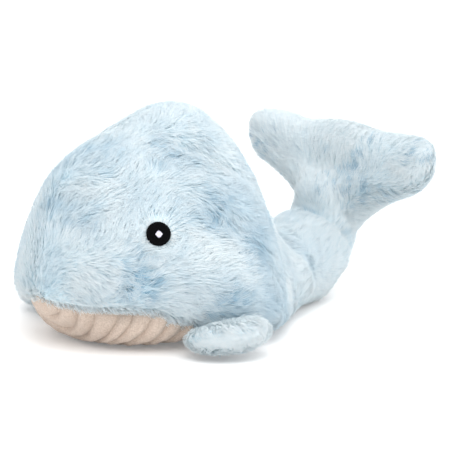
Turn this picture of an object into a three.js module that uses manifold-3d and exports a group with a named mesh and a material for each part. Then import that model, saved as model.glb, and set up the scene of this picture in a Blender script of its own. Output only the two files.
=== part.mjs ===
// A stuffed toy whale, sewn from pale blue fur panels over fibre stuffing, with a pleated corduroy belly,
// two flippers that flap on their seams, a tail that bends at its root, and a fluke that folds at its neck.
// Millimetres, +Z up. The nose points to -X and the toy's left side to -Y. The origin lies on the table, on
// the crest of the pleat that the middle of the belly rests on.
import * as THREE from "three";
import { mergeVertices } from "three/addons/utils/BufferGeometryUtils.js";
import Module from "manifold-3d";

const wasm = await Module();
wasm.setup();

// Driving sizes of the body
const bodyLength = 217; // nose to the hinge line at the tail's root
const bodyWidth = 200;
const bodyHeight = 167;
const noseSetback = 106; // nose to the origin
const noseHeight = 41;
const noseRoundLength = 43;
const furThickness = 8; // backing and lying pile together
const seamGap = 0.3; // free space between pieces that touch
const stuffingGap = 2.5; // free space between the fur's backing and the firm stuffing
const restDepth = 0.5; // how deep the table flattens what rests on it

// Driving sizes of the tail and its two bends
const tailRootThickness = 68;
const tailRootWidth = 106;
const tailRootRise = 34; // table to the tail's middle line at its root
const tailStraight = 24; // level run behind the root
const tailBendRadius = 36;
const tailBendAngle = 48; // degrees from level to the fluke's seam
const tailThickness = 66;
const tailWidth = 58;
const rootHingeMargin = 2; // how far the root's round face stands outside the root's section
const neckSeamRadius = 33; // round end of the tail that the fluke folds over

// Driving sizes of the belly panel
const bellyStart = 1; // nose to the panel's front end
const bellyLength = 137;
const bellyHalfWidth = 84;
const bellyRearLength = 69; // length of the panel's tapering rear
const bellySeamHeight = 37; // table to the panel's seam at the chin
const bellyTuck = 5; // how far the panel's edge lies under the fur's surface
const pleatPitch = 12;
const pleatDepth = 2.6;

// Driving sizes of the fluke
const flukeSpan = 198;
const flukeChord = 64; // neck seam to the trailing edge
const flukeThickness = 38;
const flukeFabric = 6;
const neckWidth = 49;
const neckThickness = 63;
const neckRun = 40; // distance over which the neck thins into the fluke
const neckStraight = 1; // run from the neck seam to the neck's bend
const neckBendRadius = 40;
const neckBendAngle = 41; // degrees by which the neck bends on upwards

// Driving sizes of the flippers
const finLength = 34;
const finWidth = 58;
const finThickness = 18;
const finFabric = 4.5;
const finRootThickness = 5; // the pinched seam at the body
const finRootTaper = 18; // distance over which a flipper swells to its full thickness
const finStation = 96; // nose to the middle of the flipper's seam
const finHeight = 18; // table to the middle of the flipper's seam
const finSeamRise = 8; // degrees by which the seam rises to the rear
const finSweep = 8; // degrees from straight outwards to the flipper's middle line
const finDroop = 6; // degrees below level
const finRaise = 20; // degrees by which a flipper can be raised
const finClearance = 0.8; // free space between a raised flipper and the body's side

// Driving sizes of the eyes
const eyeDiameter = 17;
const eyeThickness = 2.4;
const eyeCrown = 1;
const eyeSink = 2; // depth of the eye's rim under the fur's surface
const eyeStation = 61; // nose to the eye's centre
const eyeHeight = 87.4; // table to the eye's centre
const glintWidth = 5;
const glintHeight = 5.6;
const glintThickness = 0.9;
const glintSeat = 0.4; // depth to which the glint is sewn into the eye

const furMaterial = new THREE.MeshStandardMaterial({ color: 0xcfe2ec, roughness: 0.95, metalness: 0 });
const corduroyMaterial = new THREE.MeshStandardMaterial({ color: 0xc9b7a8, roughness: 0.95, metalness: 0 });
const stuffingMaterial = new THREE.MeshStandardMaterial({ color: 0xf3f3ef, roughness: 1, metalness: 0 });
const eyeMaterial = new THREE.MeshStandardMaterial({ color: 0x0d0d10, roughness: 0.7, metalness: 0 });
const glintMaterial = new THREE.MeshStandardMaterial({ color: 0xe6e4f0, roughness: 0.7, metalness: 0 });

const HALF_TURN = Math.PI;
const QUARTER_TURN = Math.PI / 2;
const radians = THREE.MathUtils.degToRad;
const toolReach = 2 * (bodyLength + flukeSpan); // size of the bodies that cut others

// Body sections. Each row: share of the body's length from the nose, shares of the body's height for the
// back, the underside and the widest line, and share of half the body's width.
const bodySectionShares = [
  [0, 0.56, 0.14, 0.22, 0.36],
  [0.1, 0.71, 0.09, 0.235, 0.55],
  [0.2, 0.828, 0.015, 0.28, 0.695],
  [0.32, 0.894, 0, 0.315, 0.84],
  [0.44, 0.956, 0, 0.29, 0.955],
  [0.55, 1, 0, 0.228, 1],
  [0.66, 0.974, 0, 0.15, 0.985],
  [0.76, 0.9, 0, 0.12, 0.86],
  [0.86, 0.73, 0, 0.13, 0.69],
  [0.93, 0.55, 0, 0.14, 0.59],
];
// Tail sections. Each row: share of the run from root to fluke seam, shares of half the thickness for the
// back and the underside, and share of the width.
const tailSectionShares = [
  [0.2, 1, 1.04, 1.54],
  [0.4, 0.98, 1.14, 1.22],
  [0.6, 0.95, 0.99, 1.03],
  [1, 0.9, 0.9, 0.88],
];
// Powers of the rounded section under and over the body's widest line, and over the tail's.
const lowerPower = 3;
const upperPower = 1.5;
const tailPower = 2.2;

// Monotone cubic interpolation through the rows of a table whose first column rises.
function smoothTable(rows) {
  const last = rows.length - 1;
  const spans = rows.slice(1).map((row, i) => row[0] - rows[i][0]);
  const slopes = rows[0].slice(1).map((_, k) => {
    const chord = spans.map((span, i) => (rows[i + 1][k + 1] - rows[i][k + 1]) / span);
    return rows.map((_, i) => {
      if (i === 0) return chord[0];
      if (i === last) return chord[last - 1];
      if (chord[i - 1] * chord[i] <= 0) return 0;
      const near = 2 * spans[i] + spans[i - 1];
      const far = spans[i] + 2 * spans[i - 1];
      return (near + far) / (near / chord[i - 1] + far / chord[i]);
    });
  });
  return (at) => {
    const x = THREE.MathUtils.clamp(at, rows[0][0], rows[last][0]);
    let i = 0;
    while (i < last - 1 && x > rows[i + 1][0]) i++;
    const t = (x - rows[i][0]) / spans[i];
    return slopes.map((slope, k) => {
      const [a, b] = [rows[i][k + 1], rows[i + 1][k + 1]];
      const [rise, fall] = [slope[i] * spans[i], slope[i + 1] * spans[i]];
      return a + t * (rise + t * (3 * (b - a) - 2 * rise - fall + t * (2 * (a - b) + rise + fall)));
    });
  };
}

// A line that runs straight, then round an arc, then straight on: how far along and up it is after a run.
function bentLine(run, straight, radius, bend) {
  const past = Math.max(0, run - straight);
  const slope = Math.min(past / radius, bend);
  const rest = past - radius * slope;
  return {
    along: Math.min(run, straight) + radius * Math.sin(slope) + rest * Math.cos(slope),
    up: radius * (1 - Math.cos(slope)) + rest * Math.sin(slope),
    slope,
  };
}

// The middle line of body and tail, level to the root and bent upwards behind it, up to the neck's hinge.
const tailBend = radians(tailBendAngle);
const tailRun = tailStraight + tailBendRadius * tailBend + neckSeamRadius;
const wholeRun = bodyLength + tailRun;
const rootX = bodyLength - noseSetback;

function spineAt(run) {
  const { along, up, slope } = bentLine(run - bodyLength, tailStraight, tailBendRadius, tailBend);
  return { x: rootX + along, z: tailRootRise + up, slope };
}

// Section sizes at a run: back, underside and widest line over the middle line, and half width.
const sectionSizes = smoothTable([
  ...bodySectionShares.map(([along, back, under, widest, width]) => [
    along * bodyLength,
    back * bodyHeight - tailRootRise,
    under * bodyHeight - restDepth - tailRootRise,
    widest * bodyHeight - tailRootRise,
    (width * bodyWidth) / 2,
  ]),
  [bodyLength, tailRootThickness / 2, -tailRootThickness / 2, 0, tailRootWidth / 2],
  ...tailSectionShares.map(([along, back, under, wide]) => [
    bodyLength + along * tailRun,
    (back * tailThickness) / 2,
    (-under * tailThickness) / 2,
    0,
    (wide * tailWidth) / 2,
  ]),
]);

// A point on the outer surface: run from the nose, and angle round the section from the underside (0) by the
// toy's left side to the back (half a turn). The nose closes to one point.
function surfacePoint(run, angle) {
  const { x, z, slope } = spineAt(run);
  const [back, under, widest, halfWidth] = sectionSizes(run);
  const ahead = Math.min(run / noseRoundLength, 1);
  const swell = Math.sqrt(1 - (1 - ahead) ** 2);
  const noseRise = noseHeight - tailRootRise;
  const low = Math.cos(angle) > 0;
  const tailward = THREE.MathUtils.smoothstep(run, noseSetback, bodyLength);
  const power = 2 / (low ? lowerPower : THREE.MathUtils.lerp(upperPower, tailPower, tailward ** 2));
  const reach = ((low ? under : back) - widest) * Math.abs(Math.cos(angle)) ** power;
  const side = halfWidth * Math.abs(Math.sin(angle)) ** power * Math.sign(Math.sin(angle));
  const rise = noseRise + (widest + reach - noseRise) * swell;
  return new THREE.Vector3(x - rise * Math.sin(slope), -side * swell, z + rise * Math.cos(slope));
}

// The outward normal there, from neighbouring points.
const smallTurn = radians(0.5);
const smallRun = (bodyWidth / 2) * smallTurn;
function surfaceNormal(run, angle) {
  const along = surfacePoint(run + smallRun, angle).sub(surfacePoint(Math.max(run - smallRun, 0), angle));
  const round = surfacePoint(run, angle + smallTurn).sub(surfacePoint(run, angle - smallTurn));
  return along.cross(round).normalize();
}

// A point under the surface by a depth.
function insetPoint(run, angle, depth) {
  if (run <= 0) return surfacePoint(0, angle).add(new THREE.Vector3(depth, 0, 0));
  return surfacePoint(run, angle).addScaledVector(surfaceNormal(run, angle), -depth);
}

// The angle round the section where the side stands at a height.
const halvings = 30;
function angleAtHeight(run, height) {
  let [low, high] = [0, HALF_TURN];
  for (let i = 0; i < halvings; i++) {
    const middle = (low + high) / 2;
    if (surfacePoint(run, middle).z < height) low = middle;
    else high = middle;
  }
  return (low + high) / 2;
}

// Geometry from triangles of three points each. Shared points are merged and slivers dropped.
const mergeDistance = seamGap / 100;
function meshOf(triangles) {
  const positions = triangles.flat().flatMap((p) => [p.x, p.y, p.z]);
  const loose = new THREE.BufferGeometry();
  loose.setAttribute("position", new THREE.Float32BufferAttribute(positions, 3));
  loose.setIndex(positions.slice(0, positions.length / 3).map((_, i) => i));
  const merged = mergeVertices(loose, mergeDistance);
  const corners = [];
  for (let i = 0; i < merged.index.count; i += 3) {
    const [a, b, c] = [0, 1, 2].map((k) => merged.index.getX(i + k));
    if (a !== b && b !== c && c !== a) corners.push(a, b, c);
  }
  merged.setIndex(corners);
  return merged;
}

function quad(a, b, c, d) {
  return [
    [a, b, c],
    [a, c, d],
  ];
}

// The closed shell between two grids of points of the same size, a panel's outer and inner skin.
function panelMesh(outer, inner) {
  const rows = outer.length - 1;
  const columns = outer[0].length - 1;
  const faces = [];
  for (let i = 0; i < rows; i++) {
    for (let j = 0; j < columns; j++) {
      faces.push(...quad(outer[i][j], outer[i + 1][j], outer[i + 1][j + 1], outer[i][j + 1]));
      faces.push(...quad(inner[i][j], inner[i][j + 1], inner[i + 1][j + 1], inner[i + 1][j]));
    }
    faces.push(...quad(outer[i][0], inner[i][0], inner[i + 1][0], outer[i + 1][0]));
    faces.push(...quad(outer[i][columns], outer[i + 1][columns], inner[i + 1][columns], inner[i][columns]));
  }
  for (let j = 0; j < columns; j++) {
    faces.push(...quad(outer[0][j], outer[0][j + 1], inner[0][j + 1], inner[0][j]));
    faces.push(...quad(outer[rows][j], inner[rows][j], inner[rows][j + 1], outer[rows][j + 1]));
  }
  return meshOf(faces);
}

// The closed surface of a stack of closed rings, with its first and last ring closed by fans.
function stackMesh(rings) {
  const count = rings[0].length;
  const faces = [];
  for (let i = 0; i < rings.length - 1; i++) {
    for (let j = 0; j < count; j++) {
      const k = (j + 1) % count;
      faces.push(...quad(rings[i][j], rings[i + 1][j], rings[i + 1][k], rings[i][k]));
    }
  }
  const [first, last] = [rings[0], rings[rings.length - 1]].map((ring) => ({
    ring,
    middle: ring.reduce((sum, p) => sum.add(p), new THREE.Vector3()).divideScalar(count),
  }));
  for (let j = 0; j < count; j++) {
    const k = (j + 1) % count;
    faces.push([first.middle, first.ring[j], first.ring[k]]);
    faces.push([last.middle, last.ring[k], last.ring[j]]);
  }
  return meshOf(faces);
}

// A closed geometry as a solid for joining and cutting, turned right side out where needed.
function solidOf(geometry) {
  const triVerts = new Uint32Array(geometry.index.array);
  const vertProperties = new Float32Array(geometry.getAttribute("position").array);
  const solid = new wasm.Manifold(new wasm.Mesh({ numProp: 3, vertProperties, triVerts }));
  if (solid.volume() >= 0) return solid;
  for (let i = 0; i < triVerts.length; i += 3) {
    [triVerts[i + 1], triVerts[i + 2]] = [triVerts[i + 2], triVerts[i + 1]];
  }
  return new wasm.Manifold(new wasm.Mesh({ numProp: 3, vertProperties, triVerts }));
}

function geometryOf(solid) {
  const mesh = solid.getMesh();
  const geometry = new THREE.BufferGeometry();
  geometry.setAttribute("position", new THREE.BufferAttribute(new Float32Array(mesh.vertProperties), 3));
  geometry.setIndex(new THREE.BufferAttribute(new Uint32Array(mesh.triVerts), 1));
  geometry.computeVertexNormals();
  return geometry;
}

// A three.js shape, placed by a matrix, as a solid.
function shapeSolid(shape, place) {
  const bare = shape.clone().applyMatrix4(place);
  bare.deleteAttribute("normal");
  bare.deleteAttribute("uv");
  return solidOf(mergeVertices(bare, mergeDistance));
}

// All that lies beyond the place's origin, along its X.
function halfSpace(place) {
  const block = new THREE.BoxGeometry(toolReach, toolReach, toolReach);
  block.translate(toolReach / 2, 0, 0);
  return shapeSolid(block, place);
}

// The space of a piece that turns on the place's Y: a round bar there, and all that lies beyond it.
const hingeSides = 48;
function hingeSpace(radius, place) {
  const bar = new THREE.CylinderGeometry(radius, radius, toolReach, hingeSides);
  return shapeSolid(bar, place).add(halfSpace(place));
}

const whale = new THREE.Group();

function addPiece(parent, name, solid, material) {
  const mesh = new THREE.Mesh(geometryOf(solid), material);
  mesh.name = name;
  parent.add(mesh);
}

// A group whose own axes and origin suit a piece that is drawn flat.
function placedGroup(place) {
  const group = new THREE.Group();
  group.applyMatrix4(place);
  whale.add(group);
  return group;
}

function placeOf(xAxis, yAxis, origin) {
  const zAxis = new THREE.Vector3().crossVectors(xAxis, yAxis);
  return new THREE.Matrix4().makeBasis(xAxis, yAxis, zAxis).setPosition(origin);
}

// The same point on the toy's left side (-1) or right side (1), given on the left.
function onSide(point, mirror) {
  return new THREE.Vector3(point.x, -mirror * point.y, point.z);
}

// The belly's seam in front. Each row: share of the belly's length, and share of the seam's height at the
// chin.
const bellySeamShares = [
  [0, 1],
  [0.13, 0.9],
  [0.38, 0.8],
  [0.5, 0.55],
];
const seamHeights = smoothTable(bellySeamShares);
const bellyEnd = bellyStart + bellyLength;

// Runs at which the skins have their rings: closest together over the round nose.
const noseRings = 7;
const bellyRings = 6;
const rearRings = 5;
const tailRings = 9;
const evenly = (from, length, count) => Array.from({ length: count }, (_, i) => from + (length * i) / count);
const skinRuns = [
  ...evenly(0, QUARTER_TURN, noseRings).map((turn) => noseRoundLength * (1 - Math.cos(turn))),
  ...evenly(noseRoundLength, bellyEnd - noseRoundLength, bellyRings),
  ...evenly(bellyEnd, bodyLength - bellyEnd, rearRings),
  ...evenly(bodyLength, tailRun, tailRings),
  wholeRun,
];
const skinSteps = 10;

// The angle round the section of the seam between belly and side panel: at a height in front, and at a
// distance from the middle where the panel tapers.
function bellyAngle(run) {
  if (run <= bellyStart || run >= bellyEnd) return 0;
  const taper = Math.max(0, 1 - (bellyEnd - run) / bellyRearLength);
  const halfWidth = -surfacePoint(run, QUARTER_TURN).y;
  const spread = Math.min((bellyHalfWidth * (1 - taper ** 2)) / halfWidth, 1);
  const [height] = seamHeights((run - bellyStart) / bellyLength);
  return Math.min(Math.asin(spread ** (lowerPower / 2)), angleAtHeight(run, height * bellySeamHeight));
}

// One side's fur, from the seam with the belly or the other side up to the seam along the back, grown by a
// margin for what it cuts.
function sideSkin(mirror, margin) {
  const [outer, inner] = [-margin, furThickness + margin].map((depth) =>
    skinRuns.map((run) => {
      const seam = bellyAngle(run);
      const step = (HALF_TURN - seam) / skinSteps;
      const edge = surfacePoint(run, seam);
      const beyond = surfacePoint(run, seam - smallTurn).sub(edge).normalize().multiplyScalar(margin);
      return Array.from({ length: skinSteps + 1 }, (_, j) => {
        const point = insetPoint(run, seam + j * step, depth);
        if (j === 0) point.add(beyond);
        point.y = Math.min(point.y, -seamGap / 2);
        return onSide(point, mirror);
      });
    }),
  );
  return solidOf(panelMesh(outer, inner));
}

// The pleated belly. The pleats run across it and lap backwards, and a crest lies over the origin.
const pleatCrestShare = 0.4;
const pleatSteps = 4;
const bellySteps = 8;
function pleatRise(run) {
  const phase = (run - noseSetback) / pleatPitch + pleatCrestShare;
  const share = phase - Math.floor(phase);
  const lapPower = Math.log(1 / 2) / Math.log(pleatCrestShare);
  return pleatDepth * Math.sin(HALF_TURN * share ** lapPower) ** (1 / 2);
}

function bellyPanel() {
  const rows = Math.round((bellyLength * pleatSteps) / pleatPitch);
  const runs = [
    ...evenly(bellyStart + seamGap, bellyLength - 2 * seamGap, rows),
    bellyStart + bellyLength - seamGap,
  ];
  const grid = (depthAt) =>
    runs.map((run) =>
      Array.from({ length: bellySteps + 1 }, (_, j) => {
        const across = (2 * j) / bellySteps - 1;
        const point = insetPoint(run, Math.abs(across) * bellyAngle(run), depthAt(run, across));
        return onSide(point, across > 0 ? 1 : -1);
      }),
    );
  const outer = grid((run, across) => bellyTuck * across ** 4 + pleatDepth - pleatRise(run));
  return solidOf(panelMesh(outer, grid(() => furThickness)));
}

// The whole of body and tail at a depth under the surface.
function coreMesh(depth, steps) {
  const angles = evenly(0, 2 * HALF_TURN, steps);
  return stackMesh(skinRuns.map((run) => angles.map((angle) => insetPoint(run, angle, depth))));
}

// The two hinge places of the tail: at its root, and at its neck under the fluke.
const rootRadius = tailRootThickness / 2 + rootHingeMargin;
const rootPlace = new THREE.Matrix4().makeTranslation(rootX, 0, tailRootRise);
const seamEnd = spineAt(wholeRun);
const alongNeck = new THREE.Vector3(Math.cos(seamEnd.slope), 0, Math.sin(seamEnd.slope));
const neckHinge = new THREE.Vector3(seamEnd.x, 0, seamEnd.z).addScaledVector(alongNeck, -neckSeamRadius);
const acrossToy = new THREE.Vector3(0, 1, 0);
const beforeNeckPlace = placeOf(alongNeck.clone().negate(), acrossToy, neckHinge);

// A stuffed flat piece in the plane of its seam swells from the rim to the middle of its outline.
const rimPower = 3.2;
const swellShares = [0, 0.3, 0.56, 0.77, 0.92, 1];

// A smooth closed curve through points of that plane.
function smoothOutline(points, count) {
  const knots = points.map(([x, y]) => new THREE.Vector3(x, y, 0));
  const curve = new THREE.CatmullRomCurve3(knots, true, "centripetal");
  const spaced = curve.getSpacedPoints(count).slice(0, count);
  return spaced.map((p) => new THREE.Vector2(p.x, p.y));
}

// An anticlockwise outline drawn in by a distance.
function drawnIn(outline, distance) {
  return outline.map((p, i) => {
    const before = outline[(i + outline.length - 1) % outline.length];
    const after = outline[(i + 1) % outline.length];
    const along = after.clone().sub(before).normalize();
    return new THREE.Vector2(p.x - along.y * distance, p.y + along.x * distance);
  });
}

// Rings over the outline from the middle to the rim, at the height that the swell gives them.
function domeRings(outline, middle, height, lift, slim) {
  return swellShares.map((share) =>
    outline.map((rim) => {
      const at = new THREE.Vector2().lerpVectors(middle, rim, share);
      return new THREE.Vector3(at.x, at.y, lift + height * Math.sqrt(1 - share ** rimPower) * slim(at));
    }),
  );
}

function domedPanel({ outline, middle, thickness, fabric, slim }) {
  const lift = seamGap / 2;
  const height = thickness / 2 - lift;
  const outer = domeRings(outline, middle, height, lift, slim);
  const inner = domeRings(drawnIn(outline, fabric), middle, height - fabric, lift, slim);
  return stackMesh([...outer, ...inner.reverse()]);
}

function domedFilling({ outline, middle, thickness, fabric, fillingGap, slim }) {
  const line = drawnIn(outline, fabric + fillingGap);
  const above = domeRings(line, middle, thickness / 2 - fabric - fillingGap, 0, slim);
  const below = above.map((ring) => ring.map((p) => new THREE.Vector3(p.x, p.y, -p.z)));
  return stackMesh([...above, ...below.reverse().slice(1)]);
}

function turnedOver(geometry) {
  return geometry.clone().scale(1, 1, -1);
}

// The fluke, flat: X across the span, Y from the neck hinge towards the trailing edge.
// Each row: share of the half span, and share of the chord from the neck seam.
const flukeLobeShares = [
  [0.41, 0.06],
  [0.6, 0.22],
  [0.79, 0.33],
  [0.94, 0.47],
  [1, 0.64],
  [1, 0.82],
  [0.94, 0.94],
  [0.8, 1],
  [0.6, 0.98],
  [0.38, 0.965],
  [0.18, 1],
];
const flukeCrestShare = 1.02;
const flukeMiddleShare = 0.4;
const flukePoints = 32;

function flukeShape() {
  const reach = (share) => neckSeamRadius + share * flukeChord;
  const half = [
    [neckWidth / 3, -neckSeamRadius / 2],
    [neckWidth / 2, 0],
    [neckWidth / 2, (2 * neckSeamRadius) / 3],
    ...flukeLobeShares.map(([across, along]) => [(across * flukeSpan) / 2, reach(along)]),
  ];
  const otherHalf = half.map(([x, y]) => [-x, y]).reverse();
  return {
    outline: smoothOutline([...half, [0, reach(flukeCrestShare)], ...otherHalf], flukePoints),
    middle: new THREE.Vector2(0, reach(flukeMiddleShare)),
    thickness: flukeThickness,
    fabric: flukeFabric,
    fillingGap: stuffingGap,
    slim: (at) => {
      const share = THREE.MathUtils.smoothstep(at.y, neckSeamRadius, neckSeamRadius + neckRun);
      return THREE.MathUtils.lerp(neckThickness / flukeThickness, 1, share);
    },
  };
}

// The flat fluke bent up at its neck. Z is away from the side to which it bends.
function bentFluke(geometry) {
  const bent = geometry.clone();
  const points = bent.getAttribute("position");
  const straight = neckSeamRadius + neckStraight;
  const bend = radians(neckBendAngle);
  for (let i = 0; i < points.count; i++) {
    const [run, out] = [points.getY(i), points.getZ(i)];
    const { along, up, slope } = bentLine(run, straight, neckBendRadius, bend);
    points.setY(i, along + out * Math.sin(slope));
    points.setZ(i, -up + out * Math.cos(slope));
  }
  return bent;
}

// The flipper, flat: X along its seam towards the tail, Y outwards from the seam.
// Each row: share of the width, and share of the length, from the front of the seam round to the rear.
const finOutlineShares = [
  [-0.36, 0],
  [0.36, 0],
  [0.52, 0.28],
  [0.48, 0.66],
  [0.28, 0.94],
  [0, 1],
  [-0.26, 0.88],
  [-0.44, 0.58],
  [-0.48, 0.24],
];
const finPoints = 18;

function finPoint(along, out) {
  const y = out * finLength;
  return [along * finWidth + y * Math.tan(radians(finSweep)), y];
}

// Drawn for the right side, and mirrored along the seam for the left.
function finShape(mirror) {
  const [front, rear, ...rest] = finOutlineShares.map(([along, out]) => finPoint(along, out));
  const tucked = [
    [front[0] + finRootThickness, -finRootThickness / 2],
    [rear[0] - finRootThickness, -finRootThickness / 2],
  ];
  const line = smoothOutline([front, ...tucked, rear, ...rest], finPoints);
  const outline = line.map((p) => new THREE.Vector2(mirror * p.x, p.y));
  if (mirror < 0) outline.reverse();
  const [middleX, middleY] = finPoint(0, 1 / 2);
  return {
    outline,
    middle: new THREE.Vector2(mirror * middleX, middleY),
    thickness: finThickness,
    fabric: finFabric,
    fillingGap: seamGap,
    slim: (at) => {
      const share = THREE.MathUtils.smoothstep(at.y, 0, finRootTaper);
      return THREE.MathUtils.lerp(finRootThickness / finThickness, 1, share);
    },
  };
}

// The flippers flap on seams that slant up to the rear, low on the body's sides.
const finSeat = surfacePoint(finStation, angleAtHeight(finStation, finHeight));
const outwardPlace = new THREE.Matrix4().makeRotationZ(QUARTER_TURN);
const grooveRadius = finRootThickness / 2 + seamGap;

function finPlace(mirror) {
  const [front, rear] = [-1, 1].map((way) => {
    const run = finStation + (way * finWidth) / 4;
    return surfacePoint(run, angleAtHeight(run, finHeight));
  });
  const rearward = rear.sub(front).setZ(0).normalize();
  const outward = new THREE.Vector3(rearward.y, -rearward.x, -Math.tan(radians(finDroop)));
  rearward.z = Math.tan(radians(finSeamRise));
  rearward.normalize();
  outward.addScaledVector(rearward, -outward.dot(rearward)).normalize();
  const alongSeam = onSide(rearward, mirror).multiplyScalar(mirror);
  return placeOf(alongSeam, onSide(outward, mirror), onSide(finSeat, mirror));
}

// The body as a raised flipper meets it, apart from the groove that the flipper's seam turns in.
const hullSteps = 40;
function raisedBody(mirror) {
  const lowered = new THREE.Matrix4().makeRotationX(radians(-finRaise));
  const towardsFin = lowered.multiply(finPlace(mirror).invert());
  const radius = (finRootThickness + seamGap) / 2;
  const groove = new THREE.CylinderGeometry(radius, radius, toolReach, hingeSides);
  const hull = solidOf(coreMesh(-finClearance, hullSteps).applyMatrix4(towardsFin));
  return hull.subtract(shapeSolid(groove, outwardPlace));
}

function addFlipper(side, mirror) {
  const group = placedGroup(finPlace(mirror));
  const shape = finShape(mirror);
  const panel = domedPanel(shape);
  const beyondSeam = hingeSpace(finRootThickness / 2, outwardPlace).subtract(raisedBody(mirror));
  const firmFrom = new THREE.Matrix4().makeTranslation(0, finRootTaper / 2, 0);
  const stuffed = halfSpace(firmFrom.multiply(outwardPlace));
  addPiece(group, `fin_${side}_upper_panel`, solidOf(panel).intersect(beyondSeam), furMaterial);
  addPiece(group, `fin_${side}_lower_panel`, solidOf(turnedOver(panel)).intersect(beyondSeam), furMaterial);
  addPiece(group, `fin_${side}_stuffing`, solidOf(domedFilling(shape)).intersect(stuffed), stuffingMaterial);
}

// The groove in the body's fur along a flipper's seam.
function finGroove(mirror) {
  const bar = new THREE.CylinderGeometry(grooveRadius, grooveRadius, finWidth, hingeSides);
  return shapeSolid(bar, finPlace(mirror).multiply(outwardPlace));
}

// The eyes: an embroidered disc with a slight crown in a pocket of the fur, and a rounded glint on it.
// Each is drawn lying down, with Z outwards from the body and its back at zero.
const eyeAngle = angleAtHeight(eyeStation, eyeHeight);
const eyeSides = 32;
const crownSteps = 2;

function eyePlace(mirror) {
  const outward = onSide(surfaceNormal(eyeStation, eyeAngle), mirror);
  const origin = onSide(insetPoint(eyeStation, eyeAngle, eyeSink + eyeThickness), mirror);
  const level = new THREE.Vector3(0, 0, 1).cross(outward).normalize();
  return placeOf(level, new THREE.Vector3().crossVectors(outward, level), origin);
}

function eyeDisc() {
  const radius = eyeDiameter / 2;
  const crown = evenly(1, -1, crownSteps).map(
    (share) => new THREE.Vector2(radius * share, eyeThickness + eyeCrown * (1 - share * share)),
  );
  const top = new THREE.Vector2(0, eyeThickness + eyeCrown);
  const profile = [new THREE.Vector2(0, 0), new THREE.Vector2(radius, 0), ...crown, top];
  return new THREE.LatheGeometry(profile, eyeSides).rotateX(QUARTER_TURN);
}

// A rounded diamond, grown by a margin and raised by a thickness from a height.
const glintPower = 1.4;
const glintPoints = 16;
function glintPlate(margin, from, thickness) {
  const outline = evenly(0, 2 * HALF_TURN, glintPoints).map((turn) => {
    const [x, y] = [Math.cos(turn), Math.sin(turn)];
    const reach = (Math.abs(x) ** glintPower + Math.abs(y) ** glintPower) ** (-1 / glintPower);
    return new THREE.Vector2(x * reach * (glintWidth / 2 + margin), y * reach * (glintHeight / 2 + margin));
  });
  const plate = new THREE.ExtrudeGeometry(new THREE.Shape(outline), { depth: thickness, bevelEnabled: false });
  return plate.translate(0, 0, from);
}

// The matrix of a piece that is already in place.
const eyeHome = new THREE.Matrix4();
function addEye(side, mirror) {
  const group = placedGroup(eyePlace(mirror));
  const seat = eyeThickness + eyeCrown - glintSeat;
  const pocket = shapeSolid(glintPlate(seamGap, seat - seamGap, eyeThickness), eyeHome);
  addPiece(group, `eye_${side}_disc`, shapeSolid(eyeDisc(), eyeHome).subtract(pocket), eyeMaterial);
  const glint = shapeSolid(glintPlate(0, seat, glintThickness), eyeHome);
  addPiece(group, `eye_${side}_highlight`, glint, glintMaterial);
}

function eyePocket(mirror) {
  const radius = eyeDiameter / 2 + seamGap;
  const depth = eyeThickness + 2 * furThickness;
  const hole = new THREE.CylinderGeometry(radius, radius, depth, eyeSides).rotateX(QUARTER_TURN);
  return shapeSolid(hole.translate(0, 0, depth / 2 - seamGap), eyePlace(mirror));
}

// Body and tail
const coreSteps = 14;
const core = solidOf(coreMesh(furThickness + stuffingGap, coreSteps));
const underTable = halfSpace(new THREE.Matrix4().makeRotationY(QUARTER_TURN));
const beforeNeck = hingeSpace(neckSeamRadius, beforeNeckPlace).subtract(underTable);
const tailSpace = hingeSpace(rootRadius, rootPlace).intersect(beforeNeck);
const tailClearance = hingeSpace(rootRadius + seamGap, rootPlace);
let belly = bellyPanel().subtract(underTable);
for (const [side, mirror] of [
  ["left", -1],
  ["right", 1],
]) {
  const skin = sideSkin(mirror, 0);
  belly = belly.subtract(sideSkin(mirror, seamGap));
  const cuts = tailClearance.add(underTable).add(eyePocket(mirror)).add(finGroove(mirror));
  addPiece(whale, `body_side_${side}`, skin.subtract(cuts), furMaterial);
  addPiece(whale, `tail_side_${side}`, skin.intersect(tailSpace), furMaterial);
  addEye(side, mirror);
  addFlipper(side, mirror);
}
addPiece(whale, "belly_panel", belly, corduroyMaterial);
addPiece(whale, "body_stuffing", core.subtract(tailClearance), stuffingMaterial);
addPiece(whale, "tail_stuffing", core.intersect(tailSpace), stuffingMaterial);

// Fluke
const fluke = placedGroup(placeOf(acrossToy, alongNeck, neckHinge));
const flukeDrawn = flukeShape();
const flukePanel = domedPanel(flukeDrawn);
const beforeFluke = hingeSpace(neckSeamRadius + seamGap, outwardPlace.clone().invert());
for (const [name, flat, material] of [
  ["fluke_upper_panel", turnedOver(flukePanel), furMaterial],
  ["fluke_lower_panel", flukePanel, furMaterial],
  ["fluke_stuffing", domedFilling(flukeDrawn), stuffingMaterial],
]) {
  addPiece(fluke, name, solidOf(bentFluke(flat)).subtract(beforeFluke), material);
}

export default whale;
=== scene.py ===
"""A stuffed toy whale: pale blue plush over a pleated corduroy belly, with embroidered eyes.

Lengths are in millimetres and turned into metres where a mesh is made. The nose points to -X, the toy's left
side to -Y, and the table is at z = 0.
"""

from math import ceil, cos, log, pi, radians, sin, sqrt, tan, tau

import bmesh
import bpy
import numpy as np
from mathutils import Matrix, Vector
from mathutils.bvhtree import BVHTree
from mathutils.kdtree import KDTree


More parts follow.
